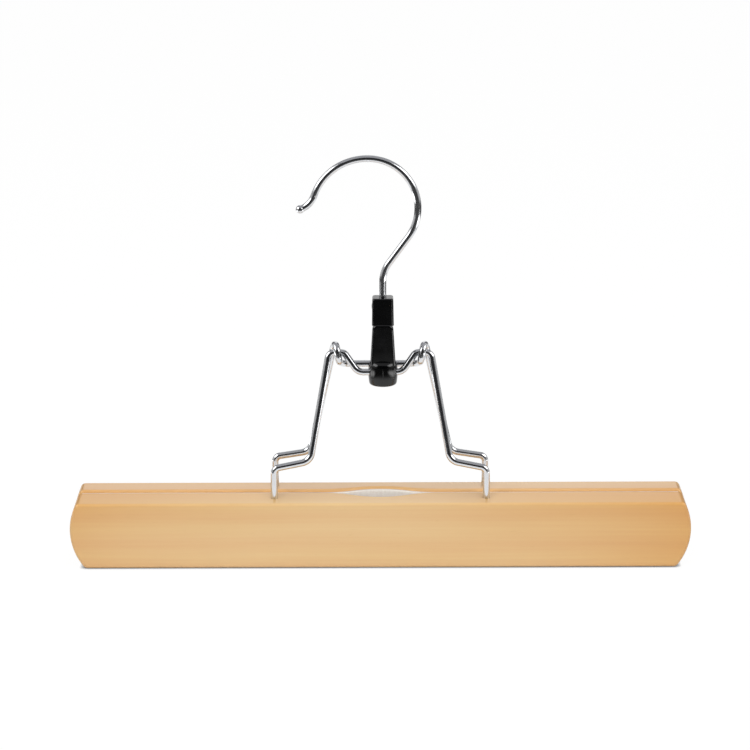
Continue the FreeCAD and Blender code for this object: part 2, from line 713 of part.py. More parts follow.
def add_grip(body):
    """The grip: a block that widens down to the knob, with a round-cornered crown and soft edges."""
    below = knob_top - size("knob_shoulder_radius")
    foot_level = "Places.knob_top - Sizes.knob_shoulder_radius"
    foot_front = -size("grip_foot_front")
    head_front = -size("grip_head_front")
    back = size("grip_back")
    side_view = new_sketch(body, "GripSide", "YZ_Plane")
    corners = [(foot_front, below), (back, below), (back, grip_top), (head_front, grip_top)]
    edges = polygon(side_view, corners)
    relate(side_view, "Horizontal", edges[0])
    relate(side_view, "Vertical", edges[1])
    relate(side_view, "Horizontal", edges[2])
    dimension(side_view, "Sizes.grip_foot_front", "DistanceX", edges[0], START, *ORIGIN)
    dimension(side_view, "Sizes.grip_head_front", "DistanceX", edges[2], END, *ORIGIN)
    dimension(side_view, "Sizes.grip_back", "DistanceX", *ORIGIN, edges[1], START)
    dimension(side_view, foot_level, "DistanceY", *ORIGIN, edges[0], START)
    dimension(side_view, "Places.grip_top", "DistanceY", *ORIGIN, edges[2], START)
    block = feature(body, "Pad", "GripBlock", side_view, SideType="Symmetric")
    block.setExpression("Length", "Sizes.grip_foot_width")
    doc.recompute()
    foot_half = size("grip_foot_width") / 2
    head_half = size("grip_head_width") / 2
    tapers = new_sketch(body, "GripTapers", "XZ_Plane")
    for side in (-1, 1):
        corners = [(side * foot_half, below), (side * foot_half, grip_top), (side * head_half, grip_top)]
        edges = polygon(tapers, corners)
        relate(tapers, "Vertical", edges[0])
        relate(tapers, "Horizontal", edges[1])
        foot_ends = (edges[0], START, *ORIGIN) if side < 0 else (*ORIGIN, edges[0], START)
        head_ends = (edges[2], START, *ORIGIN) if side < 0 else (*ORIGIN, edges[2], START)
        dimension(tapers, "Sizes.grip_foot_width / 2", "DistanceX", *foot_ends)
        dimension(tapers, "Sizes.grip_head_width / 2", "DistanceX", *head_ends)
        dimension(tapers, foot_level, "DistanceY", *ORIGIN, edges[0], START)
        dimension(tapers, "Places.grip_top", "DistanceY", *ORIGIN, edges[1], START)
    block = cut(body, "GripSides", tapers, SideType="Symmetric", Type="ThroughAll")
    crown = edge_names(block.Shape, is_grip_crown)
    block = rounded(body, "GripCrown", block, crown, "Sizes.grip_crown_radius")
    soft = edge_names(block.Shape, lambda edge: is_grip_rim(edge, below))
    rounded(body, "GripEdges", block, soft, "Sizes.grip_edge_radius")


def knob_edge(radius, level, barrel, belly_x, belly_z):
    """Centre of a knob's edge rounding inside its barrel, and its angle about the barrel's centre."""
    rise = level - belly_z
    run = math.sqrt((barrel - radius) ** 2 - rise ** 2)
    return (belly_x + run, level), math.atan2(rise, run)


def add_knob(body):
    """The round knob at the lever's foot: a slight barrel with a soft bottom edge and a soft shoulder."""
    sketch = new_sketch(body, "KnobProfile", "XZ_Plane", "Sizes.knob_ahead")
    barrel = size("knob_barrel_radius")
    belly_x = size("knob_diameter") / 2 - barrel
    belly_z = front_bridge_z + size("knob_belly_rise")
    low = size("knob_bottom_radius")
    high = size("knob_shoulder_radius")
    low_centre, low_angle = knob_edge(low, knob_bottom + low, barrel, belly_x, belly_z)
    high_centre, high_angle = knob_edge(high, knob_top - high, barrel, belly_x, belly_z)
    bottom = line(sketch, (0, knob_bottom), (low_centre[0], knob_bottom))
    lower = arc(sketch, low_centre, low, 1.5 * math.pi, 2 * math.pi + low_angle)
    side = arc(sketch, (belly_x, belly_z), barrel, low_angle, high_angle)
    upper = arc(sketch, high_centre, high, high_angle, math.pi / 2)
    top = line(sketch, (high_centre[0], knob_top), (0, knob_top))
    axis = line(sketch, (0, knob_top), (0, knob_bottom))
    relate(sketch, "Tangent", bottom, END, lower, START)
    relate(sketch, "Tangent", lower, END, side, START)
    relate(sketch, "Tangent", side, END, upper, START)
    relate(sketch, "Tangent", upper, END, top, START)
    relate(sketch, "Coincident", top, END, axis, START)
    relate(sketch, "Coincident", axis, END, bottom, START)
    relate(sketch, "Horizontal", bottom)
    relate(sketch, "Horizontal", top)
    relate(sketch, "Vertical", axis)
    relate(sketch, "PointOnObject", axis, START, UPWARD)
    dimension(sketch, "Sizes.knob_bottom_radius", "Radius", lower)
    dimension(sketch, "Sizes.knob_shoulder_radius", "Radius", upper)
    dimension(sketch, "Sizes.knob_barrel_radius", "Radius", side)
    dimension(sketch, "Places.knob_bottom", "DistanceY", *ORIGIN, bottom, START)
    dimension(sketch, "Places.knob_top", "DistanceY", *ORIGIN, top, END)
    belly = "Sizes.knob_barrel_radius - Sizes.knob_diameter / 2"
    dimension(sketch, belly, "DistanceX", side, CENTRE, *ORIGIN)
    dimension(sketch, "Places.front_bridge_z + Sizes.knob_belly_rise", "DistanceY", *ORIGIN, side, CENTRE)
    feature(body, "Revolution", "Knob", sketch, ReferenceAxis=(sketch, ["V_Axis"]), Angle=360)
    doc.recompute()


def is_socket_corner(edge):
    """Whether an edge is one of the socket's four upright corners."""
    return edge.CenterOfMass.z > grip_top and abs(edge.tangentAt(edge.FirstParameter).z) > 0.9


def add_socket(body):
    """The square socket above the grip, which takes the hook's foot."""
    sketch = new_sketch(body, "SocketFront", "XZ_Plane")
    wide = size("socket_foot_width") / 2
    narrow = size("socket_head_width") / 2
    root = grip_top - size("socket_root")
    corners = [(-wide, root), (wide, root), (narrow, socket_top), (-narrow, socket_top)]
    edges = polygon(sketch, corners)
    relate(sketch, "Horizontal", edges[0])
    relate(sketch, "Horizontal", edges[2])
    dimension(sketch, "Sizes.socket_foot_width / 2", "DistanceX", edges[0], START, *ORIGIN)
    dimension(sketch, "Sizes.socket_foot_width / 2", "DistanceX", *ORIGIN, edges[0], END)
    dimension(sketch, "Sizes.socket_head_width / 2", "DistanceX", *ORIGIN, edges[2], START)
    dimension(sketch, "Sizes.socket_head_width / 2", "DistanceX", edges[2], END, *ORIGIN)
    dimension(sketch, "Places.grip_top - Sizes.socket_root", "DistanceY", *ORIGIN, edges[0], START)
    dimension(sketch, "Places.socket_top", "DistanceY", *ORIGIN, edges[2], START)
    block = feature(body, "Pad", "Socket", sketch, SideType="Symmetric")
    block.setExpression("Length", "Sizes.socket_depth")
    doc.recompute()
    upright = edge_names(block.Shape, is_socket_corner)
    block = rounded(body, "SocketCorners", block, upright, "Sizes.socket_corner_radius")
    rim = edge_names(block.Shape, lambda edge: lies_in_plane(edge, Vector(0, 0, 1), socket_top))
    rounded(body, "SocketRim", block, rim, "Sizes.socket_edge_radius")


def add_nose(body):
    """The nose at the lever's back, which reaches over and behind the rear bridge."""
    sketch = new_sketch(body, "NoseProfile", "YZ_Plane")
    back = rear_bridge_y + slot_radius + size("nose_wall")
    high = rear_bridge_z + slot_radius + size("nose_wall")
    low = rear_bridge_z - size("nose_drop")
    slope = size("nose_wall")
    corners = [(0, low), (back, low), (back, high - slope), (back - slope, high), (0, high)]
    edges = polygon(sketch, corners)
    relate(sketch, "Horizontal", edges[0])
    relate(sketch, "Vertical", edges[1])
    relate(sketch, "Horizontal", edges[3])
    relate(sketch, "Vertical", edges[4])
    relate(sketch, "PointOnObject", edges[0], START, UPWARD)
    reach = "Sizes.rear_bridge_back + Places.slot_radius + Sizes.nose_wall"
    dimension(sketch, reach, "DistanceX", *ORIGIN, edges[0], END)
    dimension(sketch, "Places.rear_bridge_z - Sizes.nose_drop", "DistanceY", *ORIGIN, edges[0], START)
    lid = "Places.rear_bridge_z + Places.slot_radius + Sizes.nose_wall"
    dimension(sketch, lid, "DistanceY", *ORIGIN, edges[3], START)
    dimension(sketch, "Sizes.nose_wall", "DistanceX", edges[3], START, edges[1], END)
    dimension(sketch, "Sizes.nose_wall", "DistanceY", edges[1], END, edges[3], START)
    nose = feature(body, "Pad", "Nose", sketch, SideType="Symmetric")
    nose.setExpression("Length", "Sizes.nose_width")
    doc.recompute()


def cut_slot(body):
    """The cam slot: the rear bridge's path as the lever sees it, open below to let the bridge leave."""
    sketch = new_sketch(body, "SlotProfile", "YZ_Plane")
    centre = (slot_y, slot_z)
    reach = slot_path_radius
    far = arc(sketch, centre, reach + slot_radius, slot_end, slot_start)
    near = arc(sketch, centre, reach - slot_radius, slot_end, slot_start)
    closed = (slot_y + reach * math.cos(slot_start), slot_z + reach * math.sin(slot_start))
    cap = arc(sketch, closed, slot_radius, slot_start, slot_start + math.pi)
    mouth = (slot_y + reach * math.cos(slot_end), slot_z + reach * math.sin(slot_end))
    exit_arc = arc(sketch, mouth, slot_radius, slot_end + math.pi, slot_end + 2 * math.pi)
    relate(sketch, "Tangent", far, END, cap, START)
    relate(sketch, "Tangent", cap, END, near, END)
    relate(sketch, "Tangent", near, START, exit_arc, START)
    relate(sketch, "Tangent", exit_arc, END, far, START)
    relate(sketch, "Coincident", far, CENTRE, near, CENTRE)
    ends = (far, CENTRE, *ORIGIN) if slot_y < 0 else (*ORIGIN, far, CENTRE)
    dimension(sketch, "abs(Places.slot_y)", "DistanceX", *ends)
    dimension(sketch, "Places.slot_z", "DistanceY", *ORIGIN, far, CENTRE)
    dimension(sketch, "Places.slot_path_radius - Places.slot_radius", "Radius", near)
    dimension(sketch, "Places.slot_radius", "Radius", cap)
    dimension(sketch, "Sizes.rear_bridge_back", "DistanceX", *ORIGIN, cap, CENTRE)
    dimension(sketch, "Places.knob_bottom", "DistanceY", *ORIGIN, exit_arc, CENTRE)
    doc.recompute()
    return cut(body, "Slot", sketch, SideType="Symmetric", Type="ThroughAll")


def bore(body, name, sketch, centre, radius, across, upward, **settings):
    """A round cut about a point of a sketch, with its radius and place from the sheets."""
    ring = circle(sketch, centre, float(sketch.evalExpression(radius)))
    dimension(sketch, radius, "Radius", ring)
    if across:
        ends = (ring, CENTRE, *ORIGIN) if centre[0] < 0 else (*ORIGIN, ring, CENTRE)
        dimension(sketch, across, "DistanceX", *ends)
    else:
        relate(sketch, "PointOnObject", ring, CENTRE, UPWARD)
    if upward:
        dimension(sketch, upward, "DistanceY", *ORIGIN, ring, CENTRE)
    else:
        relate(sketch, "PointOnObject", ring, CENTRE, ACROSS)
    return cut(body, name, sketch, **settings)


def make_lever():
    """The lever: grip, knob, socket and nose in one moulding, with its bores and its cam slot."""
    body = doc.addObject("PartDesign::Body", "lock_lever")
    add_grip(body)
    add_knob(body)
    add_socket(body)
    add_nose(body)
    cut_slot(body)
    pivot = new_sketch(body, "PivotBore", "YZ_Plane")
    bore(body, "Pivot", pivot, (front_bridge_y, front_bridge_z),
         "Sizes.wire_diameter / 2 + Sizes.bore_clearance",
         "Places.front_bridge_ahead", "Places.front_bridge_z", SideType="Symmetric", Type="ThroughAll")
    shank = new_sketch(body, "ShankBore", "XY_Plane", "Places.socket_top")
    shank_cut = bore(body, "Shank", shank, (0, 0), "Sizes.hook_diameter / 2 + Sizes.bore_clearance", "", "")
    shank_cut.setExpression("Length", "Places.socket_top - Places.foot_bottom + Sizes.foot_clearance")
    pin_bore = new_sketch(body, "PinBore", "YZ_Plane")
    bore(body, "PinHole", pin_bore, (0, pin_z), "Sizes.pin_diameter / 2 + Sizes.pin_clearance",
         "", "Places.pin_z", Type="ThroughAll")
    seat = new_sketch(body, "PinSeat", "YZ_Plane", "-Sizes.pin_seat")
    bore(body, "PinSpotFace", seat, (0, pin_z), "Sizes.pin_head_diameter / 2 + Sizes.bore_clearance",
         "", "Places.pin_z", Type="ThroughAll")
    body.setExpression("Placement.Base.x", "Sizes.lever_offset")
    doc.recompute()
    return body


subparts = [
    make_bar("front_bar", 0),
    make_bar("rear_bar", 180),
    make_felt("front_felt", 0),
    make_felt("rear_felt", 180),
    make_front_wire(),
    make_rear_wire(),
    make_lever(),
    make_hook(),
    make_pin(),
]
doc.recompute()

# Every object is sound before anything is written.
for item in doc.Objects:
    if "Invalid" in item.State or "Error" in item.State:
        raise RuntimeError(f"{item.Label} failed: {item.State}")
for subpart in subparts:
    shape = subpart.Shape
    if shape.isNull() or not shape.isValid() or len(shape.Solids) != 1:
        raise RuntimeError(f"{subpart.Label} is not one sound solid")

os.makedirs("parts", exist_ok=True)
for subpart in subparts:
    subpart.Shape.exportStep(f"parts/{subpart.Label}.step")
    box = subpart.Shape.BoundBox
    print(
        f"{subpart.Label}: {subpart.Shape.Volume:.1f} mm3,"
        f" x {box.XMin:.2f} to {box.XMax:.2f},"
        f" y {box.YMin:.2f} to {box.YMax:.2f},"
        f" z {box.ZMin:.2f} to {box.ZMax:.2f}"
    )
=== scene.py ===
# %% [markdown]
# # A clamp hanger for skirts and trousers
# Two wooden bars hang from chromed wire frames and grip a waistband between felt linings.
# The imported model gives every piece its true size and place, in metres, with z up and x along the bars.
# This lesson dresses that model: it winds the wires again along their own routes, lays the felt and makes
# the finishes, the studio and the camera.

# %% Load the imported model
import bpy
import bmesh
import math
from mathutils import Euler, Matrix, Vector, noise


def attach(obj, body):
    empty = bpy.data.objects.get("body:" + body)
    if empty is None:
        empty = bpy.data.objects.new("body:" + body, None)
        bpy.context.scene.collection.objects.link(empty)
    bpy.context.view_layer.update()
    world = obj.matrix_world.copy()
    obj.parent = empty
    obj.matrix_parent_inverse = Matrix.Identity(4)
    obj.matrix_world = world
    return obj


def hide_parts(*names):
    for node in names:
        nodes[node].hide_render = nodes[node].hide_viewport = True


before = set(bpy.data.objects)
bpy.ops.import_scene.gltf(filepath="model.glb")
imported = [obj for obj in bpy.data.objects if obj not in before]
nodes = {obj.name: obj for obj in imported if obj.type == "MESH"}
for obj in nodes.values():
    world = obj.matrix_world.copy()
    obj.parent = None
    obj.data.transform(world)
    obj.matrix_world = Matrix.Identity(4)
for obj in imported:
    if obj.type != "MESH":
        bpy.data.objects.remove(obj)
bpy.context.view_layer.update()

MM = 0.001


# %% [markdown]
# ## Helpers
# Shader trees and geometry trees are filled by one function: it adds a node, changes its settings and then
# gives each input either a value or a link. Colours are written as hex values, as a paint chart gives them,
# and turned to the linear numbers that shaders take.

# %% Small helpers
def add(tree, kind, inputs=None, **settings):
    made = tree.nodes.new(kind)
    for name, value in settings.items():
        setattr(made, name, value)
    for name, value in (inputs or {}).items():
        if isinstance(value, bpy.types.NodeSocket):
            tree.links.new(value, made.inputs[name])
        else:
            made.inputs[name].default_value = value
    return made


def colour(hex_value):
    channels = [int(hex_value[start:start + 2], 16) / 255 for start in (1, 3, 5)]
    linear = [c / 12.92 if c <= 0.04045 else ((c + 0.055) / 1.055) ** 2.4 for c in channels]
    return (*linear, 1.0)


def per_mm(size_mm):
    """Scale of a noise whose features are this wide, in millimetres."""
    return 1 / (size_mm * MM)


def new_material(name):
    material = bpy.data.materials.new(name)
    material.use_nodes = True
    tree = material.node_tree
    return material, tree, tree.nodes["Principled BSDF"]


def link_object(name, mesh):
    piece = bpy.data.objects.new(name, mesh)
    bpy.context.scene.collection.objects.link(piece)
    return piece


def dress(node_name, material):
    """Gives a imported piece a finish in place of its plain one."""
    data = nodes[node_name].data
    data.materials.clear()
    data.materials.append(material)


# %% [markdown]
# ## Wood under clear lacquer
# The bars are planed from a pale, close-grained hardwood and dipped in clear lacquer, which warms the wood to
# honey. Seen from a step away there is hardly any figure, only slow changes of tone: the colour is made warmer
# and darker towards the ends and the upper edge. Faint growth rings, drawn-out streaks and short pores go
# under that, so that the wood holds up from close by. Each bar is cut from its own place in the tree.

# %% Lacquered hardwood
RING_PITCH = 5.2
RING_SHARE = 0.05
PITH_BELOW = 62.0
PITH_BEHIND = 26.0
RING_WANDER = 3.0
RING_WANDER_LENGTH = 85.0
WANDER_STRETCH = 6
STREAK_WIDTH = 0.9
STREAK_LENGTH = 60.0
STREAK_SHARE = 0.07
PORE_WIDTH = 0.35
PORE_LENGTH = 5.0
PORE_SHARE = 0.12
TONE_LENGTH = 70.0
WARM_END = 125.0
WARM_END_SHARE = 0.5
WARM_TOP = 28.4
WARM_TOP_SHARE = 0.22


def lacquered_hardwood(name, plank_shift):
    material, tree, shader = new_material(name)

    def drawn_out(scale, width, detail, vector):
        """A noise with features this wide in millimetres, stretched by a scale for each direction."""
        placed = add(tree, "ShaderNodeMapping", {"Vector": vector, "Scale": scale})
        return add(tree, "ShaderNodeTexNoise", {
            "Vector": placed.outputs["Vector"], "Scale": per_mm(width), "Detail": detail}).outputs["Fac"]

    place = add(tree, "ShaderNodeTexCoord").outputs["Object"]
    plank = add(tree, "ShaderNodeMapping", {"Vector": place, "Location": plank_shift}).outputs["Vector"]

    # Rings: distance from the pith line, which runs along the bar and wanders a little.
    wander = drawn_out((1 / WANDER_STRETCH, 1, 1), RING_WANDER_LENGTH / WANDER_STRETCH, 2.0, plank)
    centred = add(tree, "ShaderNodeMath", {0: wander, 1: 0.5}, operation="SUBTRACT").outputs[0]
    shift = add(tree, "ShaderNodeMath", {0: centred, 1: 2 * RING_WANDER * MM}, operation="MULTIPLY").outputs[0]
    across = add(tree, "ShaderNodeMapping", {
        "Vector": place, "Location": (0, -PITH_BEHIND * MM, PITH_BELOW * MM), "Scale": (0, 1, 1)})
    radius = add(tree, "ShaderNodeVectorMath", {0: across.outputs["Vector"]}, operation="LENGTH")
    shifted = add(tree, "ShaderNodeMath", {0: radius.outputs["Value"], 1: shift}, operation="ADD").outputs[0]
    turns = add(tree, "ShaderNodeMath", {0: shifted, 1: RING_PITCH * MM}, operation="DIVIDE").outputs[0]
    ring = add(tree, "ShaderNodeMath", {0: turns, 1: 1.0}, operation="PINGPONG").outputs[0]

    # Streaks and pores: noises drawn out along the bar.
    streak = drawn_out((STREAK_WIDTH / STREAK_LENGTH, 1, 1), STREAK_WIDTH, 3.0, plank)
    pore = drawn_out((PORE_WIDTH / PORE_LENGTH, 1, 1), PORE_WIDTH, 1.0, plank)

    # Warmth: a slow noise, stronger towards the ends and the upper edge.
    slow = add(tree, "ShaderNodeMapRange", {
        "Value": drawn_out((0.45, 1.0, 1.5), TONE_LENGTH, 1.0, plank),
        "From Min": 0.3, "From Max": 0.7, "To Min": -0.05, "To Max": 0.35})
    warmth = slow.outputs["Result"]
    parts = add(tree, "ShaderNodeSeparateXYZ", {"Vector": place}).outputs
    from_middle = add(tree, "ShaderNodeMath", {0: parts["X"]}, operation="ABSOLUTE").outputs[0]
    for distance, full, power, share in (
        (from_middle, WARM_END, 2.0, WARM_END_SHARE),
        (parts["Z"], WARM_TOP, 3.0, WARM_TOP_SHARE),
    ):
        reach = add(tree, "ShaderNodeMath", {0: distance, 1: full * MM}, operation="DIVIDE").outputs[0]
        rise = add(tree, "ShaderNodeMath", {0: reach, 1: power}, operation="POWER").outputs[0]
        added = add(tree, "ShaderNodeMath", {0: rise, 1: share, 2: warmth}, operation="MULTIPLY_ADD")
        warmth = added.outputs[0]

    # Colour: honey by warmth, then rings, streaks and pores over it.
    base = add(tree, "ShaderNodeMix", {
        "Factor": warmth, "A": colour("#E9C794"), "B": colour("#D89B4C")}, data_type="RGBA").outputs["Result"]
    for share, pattern in ((RING_SHARE, ring), (STREAK_SHARE, streak)):
        laid = add(tree, "ShaderNodeMix", {
            "Factor": share, "A": base, "B": pattern}, data_type="RGBA", blend_type="OVERLAY")
        base = laid.outputs["Result"]
    open_pore = add(tree, "ShaderNodeMapRange", {
        "Value": pore, "From Min": 0.68, "From Max": 0.80, "To Min": 0.0, "To Max": PORE_SHARE})
    pored = add(tree, "ShaderNodeMix", {
        "Factor": open_pore.outputs["Result"], "A": base, "B": colour("#B57E45")}, data_type="RGBA")
    gloss = add(tree, "ShaderNodeMapRange", {
        "Value": streak, "From Min": 0.3, "From Max": 0.7, "To Min": 0.34, "To Max": 0.42})
    relief = add(tree, "ShaderNodeBump", {"Height": streak, "Strength": 0.08, "Distance": 0.05 * MM})
    tree.links.new(pored.outputs["Result"], shader.inputs["Base Color"])
    tree.links.new(gloss.outputs["Result"], shader.inputs["Roughness"])
    tree.links.new(relief.outputs["Normal"], shader.inputs["Normal"])
    shader.inputs["IOR"].default_value = 1.5
    shader.inputs["Coat Weight"].default_value = 0.3
    shader.inputs["Coat Roughness"].default_value = 0.12
    shader.inputs["Coat IOR"].default_value = 1.48
    return material


front_wood = lacquered_hardwood("lacquered_hardwood_front", (0.0, 0.0, 0.0))
rear_wood = lacquered_hardwood("lacquered_hardwood_rear", (0.31, 0.17, 0.05))
dress("front_bar", front_wood)
dress("rear_bar", rear_wood)
print("bars dressed:", front_wood.name, rear_wood.name)


# %% [markdown]
# ## Black moulding
# The lever and the head of the pin are moulded in black ABS from a polished tool. The eye sees sharp
# reflections with a very slight waviness, as the plastic shrinks on its ribs while it cools.

# %% Polished black ABS
def polished_abs(name):
    material, tree, shader = new_material(name)
    place = add(tree, "ShaderNodeTexCoord").outputs["Object"]
    ripple = add(tree, "ShaderNodeTexNoise", {"Vector": place, "Scale": per_mm(2.2), "Detail": 1.0})
    handling = add(tree, "ShaderNodeTexNoise", {"Vector": place, "Scale": per_mm(6.0), "Detail": 4.0})
    gloss = add(tree, "ShaderNodeMapRange", {
        "Value": handling.outputs["Fac"], "From Min": 0.35, "From Max": 0.7, "To Min": 0.10, "To Max": 0.18})
    tint = add(tree, "ShaderNodeMix", {
        "Factor": handling.outputs["Fac"], "A": colour("#010101"), "B": colour("#030304")}, data_type="RGBA")
    relief = add(tree, "ShaderNodeBump", {
        "Height": ripple.outputs["Fac"], "Strength": 0.08, "Distance": 0.06 * MM})
    tree.links.new(tint.outputs["Result"], shader.inputs["Base Color"])
    tree.links.new(gloss.outputs["Result"], shader.inputs["Roughness"])
    tree.links.new(relief.outputs["Normal"], shader.inputs["Normal"])
    shader.inputs["IOR"].default_value = 1.53
    return material


black_abs = polished_abs("polished_black_abs")
dress("lock_lever", black_abs)
dress("hook_retaining_pin", black_abs)
print("lever and pin dressed:", black_abs.name)


# %% [markdown]
# ## Chromed wire
# Drawn steel wire is bent cold and then plated with bright nickel and chrome. The plating is nearly a mirror;
# a faint noise in its roughness and tint breaks it up a little, where the real wire has fine lines from the
# drawing die.

# %% Bright chrome
def bright_chrome(name):
    material, tree, shader = new_material(name)
    place = add(tree, "ShaderNodeTexCoord").outputs["Object"]
    haze = add(tree, "ShaderNodeTexNoise", {"Vector": place, "Scale": per_mm(3.0), "Detail": 5.0})
    gloss = add(tree, "ShaderNodeMapRange", {
        "Value": haze.outputs["Fac"], "From Min": 0.3, "From Max": 0.75, "To Min": 0.13, "To Max": 0.19})
    tree.links.new(gloss.outputs["Result"], shader.inputs["Roughness"])
    tint = add(tree, "ShaderNodeMix", {
        "Factor": haze.outputs["Fac"], "A": colour("#D6D8DB"), "B": colour("#E6E7E9")}, data_type="RGBA")
    tree.links.new(tint.outputs["Result"], shader.inputs["Base Color"])
    shader.inputs["Metallic"].default_value = 1.0
    return material


chrome = bright_chrome("bright_chrome_on_steel")
print("wire finish:", chrome.name)


# %% [markdown]
# ## Bent wire as a node tree
# Each frame is one length of wire with a bend at every corner. The tree takes the corner points with the bend
# radius stored on each, rounds the corners and sweeps a circle along the result. The hook adds a ball on its
# last point. A tree suits this better than a bevelled curve, because every bend keeps its own radius.

# %% The wire tree
def wire_tree():
    tree = bpy.data.node_groups.new("bent_wire", "GeometryNodeTree")
    for socket, kind in (
        ("Geometry", "Geometry"), ("Wire diameter", "Float"), ("Ball diameter", "Float"),
        ("Sides", "Int"), ("Steps per bend", "Int"), ("Finish", "Material"),
    ):
        tree.interface.new_socket(socket, in_out="INPUT", socket_type="NodeSocket" + kind)
    tree.interface.new_socket("Geometry", in_out="OUTPUT", socket_type="NodeSocketGeometry")
    given = add(tree, "NodeGroupInput").outputs
    bend = add(tree, "GeometryNodeInputNamedAttribute", {"Name": "bend"}, data_type="FLOAT")
    route = add(tree, "GeometryNodeMeshToCurve", {"Mesh": given["Geometry"]})
    rounded = add(tree, "GeometryNodeFilletCurve", {
        "Curve": route.outputs["Curve"], "Count": given["Steps per bend"],
        "Radius": bend.outputs["Attribute"], "Limit Radius": True}, mode="POLY")
    half = add(tree, "ShaderNodeMath", {0: given["Wire diameter"], 1: 0.5}, operation="MULTIPLY")
    section = add(tree, "GeometryNodeCurvePrimitiveCircle", {
        "Resolution": given["Sides"], "Radius": half.outputs[0]})
    tube = add(tree, "GeometryNodeCurveToMesh", {
        "Curve": rounded.outputs["Curve"], "Profile Curve": section.outputs["Curve"], "Fill Caps": True})
    ball_half = add(tree, "ShaderNodeMath", {0: given["Ball diameter"], 1: 0.5}, operation="MULTIPLY")
    ball = add(tree, "GeometryNodeMeshUVSphere", {
        "Segments": given["Sides"], "Rings": 16, "Radius": ball_half.outputs[0]})
    tip = add(tree, "GeometryNodeCurveEndpointSelection", {"Start Size": 0, "End Size": 1})
    wanted = add(tree, "FunctionNodeCompare", {
        "A": given["Ball diameter"], "B": 0.0}, operation="GREATER_THAN")
    here = add(tree, "FunctionNodeBooleanMath", {
        0: tip.outputs["Selection"], 1: wanted.outputs["Result"]}, operation="AND")
    placed = add(tree, "GeometryNodeInstanceOnPoints", {
        "Points": rounded.outputs["Curve"], "Selection": here.outputs["Boolean"],
        "Instance": ball.outputs["Mesh"]})
    joined = add(tree, "GeometryNodeJoinGeometry")
    tree.links.new(placed.outputs["Instances"], joined.inputs["Geometry"])
    tree.links.new(tube.outputs["Mesh"], joined.inputs["Geometry"])
    real = add(tree, "GeometryNodeRealizeInstances", {"Geometry": joined.outputs["Geometry"]})
    smooth = add(tree, "GeometryNodeSetShadeSmooth", {
        "Geometry": real.outputs["Geometry"], "Shade Smooth": True})
    finished = add(tree, "GeometryNodeSetMaterial", {
        "Geometry": smooth.outputs["Geometry"], "Material": given["Finish"]})
    result = add(tree, "NodeGroupOutput")
    tree.links.new(finished.outputs["Geometry"], result.inputs["Geometry"])
    return tree


def apply_tree(name, mesh, tree, values):
    """Runs a node tree on a mesh and keeps the result as a plain mesh under the given name."""
    carrier = link_object(name + "_route", mesh)
    modifier = carrier.modifiers.new("tree", "NODES")
    modifier.node_group = tree
    for socket in tree.interface.items_tree:
        if socket.in_out == "INPUT" and socket.name in values:
            modifier[socket.identifier] = values[socket.name]
    depsgraph = bpy.context.evaluated_depsgraph_get()
    depsgraph.update()
    made = bpy.data.meshes.new_from_object(carrier.evaluated_get(depsgraph))
    bpy.data.objects.remove(carrier)
    bpy.data.meshes.remove(mesh)
    made.name = name
    return link_object(name, made)


WIRE = 2.8
SIDES = 32
BEND_STEPS = 16
bent_wire = wire_tree()
print("wire tree:", len(bent_wire.nodes), "nodes")


def wind(name, corners, diameter=WIRE, ball=0.0, steps=BEND_STEPS, sides=SIDES, finish=chrome):
    """A wire through corners given in millimetres as (x, y, z, bend radius)."""
    mesh = bpy.data.meshes.new(name + "_corners")
    points = [Vector(corner[:3]) * MM for corner in corners]
    mesh.from_pydata(points, [(start, start + 1) for start in range(len(points) - 1)], [])
    bends = mesh.attributes.new("bend", "FLOAT", "POINT")
    bends.data.foreach_set("value", [corner[3] * MM for corner in corners])
    return apply_tree(name, mesh, bent_wire, {
        "Wire diameter": diameter * MM, "Ball diameter": ball * MM,
        "Sides": sides, "Steps per bend": steps, "Finish": finish})


def both_sides(left):
    return left + [(-x, y, z, bend) for x, y, z, bend in reversed(left)]


# %% [markdown]
# ## The two frames
# The front frame runs from its legs up the leaning sides to two level hinge stretches and dips between them
# to a bridge, on which the lever turns. The rear frame winds an eye round each hinge stretch, and its own
# bridge is what the lever catches.

# %% Front and rear frames
LEG_X = 42.7
LEG_Y = 8.65
LEG_FOOT = 12.4
LEG_BEND = 2.5
STEP_BEND = 4.8
SHOULDER_BEND = 2.9
SWOOP_BEND = 4.4
HINGE = 86.2
EYE = 3.1
FRONT_LEG_TOP = 40.3
FRONT_STEP = 2.9
FRONT_STEP_X = 28.1
HINGE_OUTER_X = 20.4
HINGE_INNER_X = 14.4
FRONT_LEAN = LEG_Y / (HINGE - FRONT_LEG_TOP)
FRONT_BRIDGE_DROP = 7.8
FRONT_BRIDGE_X = 8.9
REAR_LEG_TOP = 40.4
REAR_STEP = 2.3
REAR_STEP_X = 28.4
EYE_BACK_X = 18.2
EYE_TOP_X = 17.3
EYE_FRONT_X = 16.4
REAR_LEAN = (LEG_Y - EYE) / (HINGE + EYE - REAR_LEG_TOP)
REAR_BRIDGE_DROP = 5.4
REAR_BRIDGE_BACK = 3.1
REAR_BRIDGE_X = 14.6

